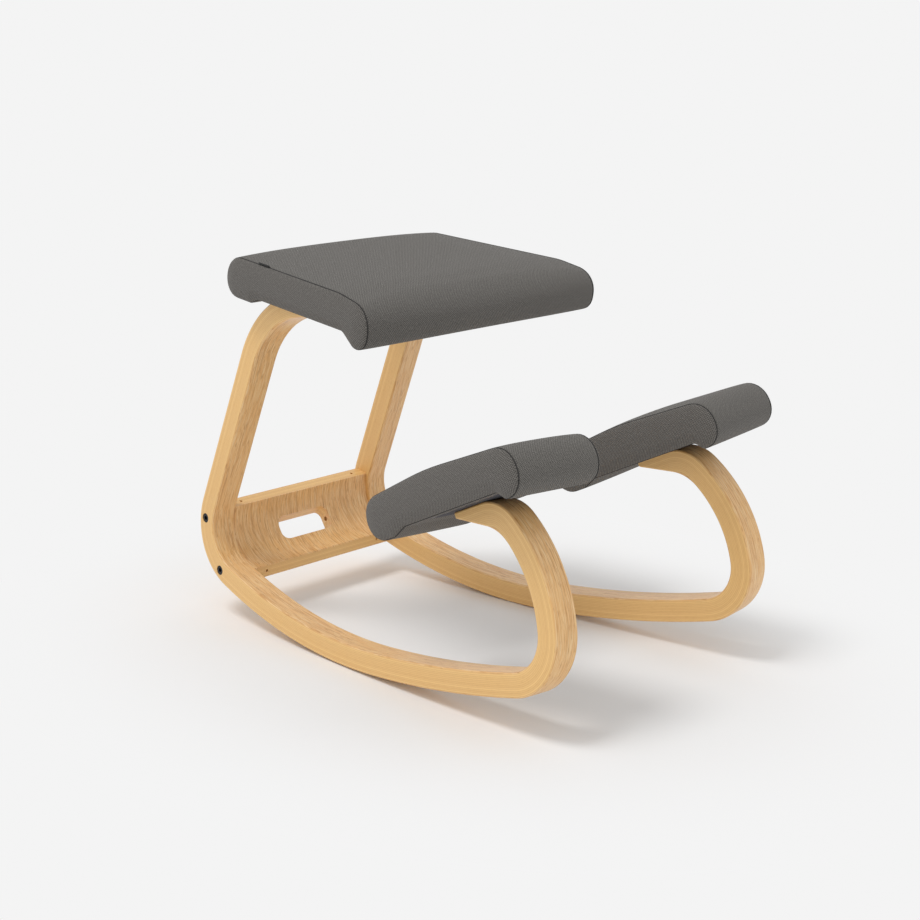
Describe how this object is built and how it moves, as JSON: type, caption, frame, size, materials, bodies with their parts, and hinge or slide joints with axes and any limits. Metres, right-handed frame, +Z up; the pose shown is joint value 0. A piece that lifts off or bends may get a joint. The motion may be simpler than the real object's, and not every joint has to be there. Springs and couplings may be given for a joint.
{
  "type": "kneeling chair",
  "caption": "Rocking kneeling chair: bent-wood runners joined by a curved slotted brace, carrying a sloped seat cushion and two knee pads.",
  "frame": {"origin": "middle of the chair's footprint box, at floor level", "axes": "+X to the sitter's left, +Y to the rear, where the brace is, and +Z up; the knee pads are at the front, towards -Y"},
  "size_m": [0.5012, 0.7111, 0.5264],
  "materials": {
    "beech_veneer": "clear satin lacquer over laminated beech veneers",
    "dowel_wood": "plain",
    "plywood": "raw sheet",
    "grey_weave": "matt pebbly weave, warm dark grey",
    "foam": "soft open foam",
    "lining_cloth": "thin dark navy lining",
    "tab_cloth": "plain black tape",
    "black_steel": "satin black",
    "plated_steel": "zinc plated"
  },
  "bodies": {
    "root": {"brace_bolts": "black_steel", "brace_dowels": "dowel_wood", "brace_inserts": "plated_steel", "cross_brace": "beech_veneer", "left_pad_board": "plywood", "left_pad_cover": "grey_weave", "left_pad_foam": "foam", "left_pad_inner_panel": "grey_weave", "left_pad_lining": "lining_cloth", "left_pad_outer_panel": "grey_weave", "left_pad_screws": "black_steel", "left_pad_tee_nuts": "plated_steel", "right_pad_board": "plywood", "right_pad_cover": "grey_weave", "right_pad_foam": "foam", "right_pad_inner_panel": "grey_weave", "right_pad_lining": "lining_cloth", "right_pad_outer_panel": "grey_weave", "right_pad_screws": "black_steel", "right_pad_tee_nuts": "plated_steel", "runner_left": "beech_veneer", "runner_right": "beech_veneer", "seat_board": "plywood", "seat_cover": "grey_weave", "seat_foam": "foam", "seat_lining": "lining_cloth", "seat_panel_left": "grey_weave", "seat_panel_right": "grey_weave", "seat_screws": "black_steel", "seat_tab": "tab_cloth", "seat_tee_nuts": "plated_steel"}
  },
  "joints": []
}
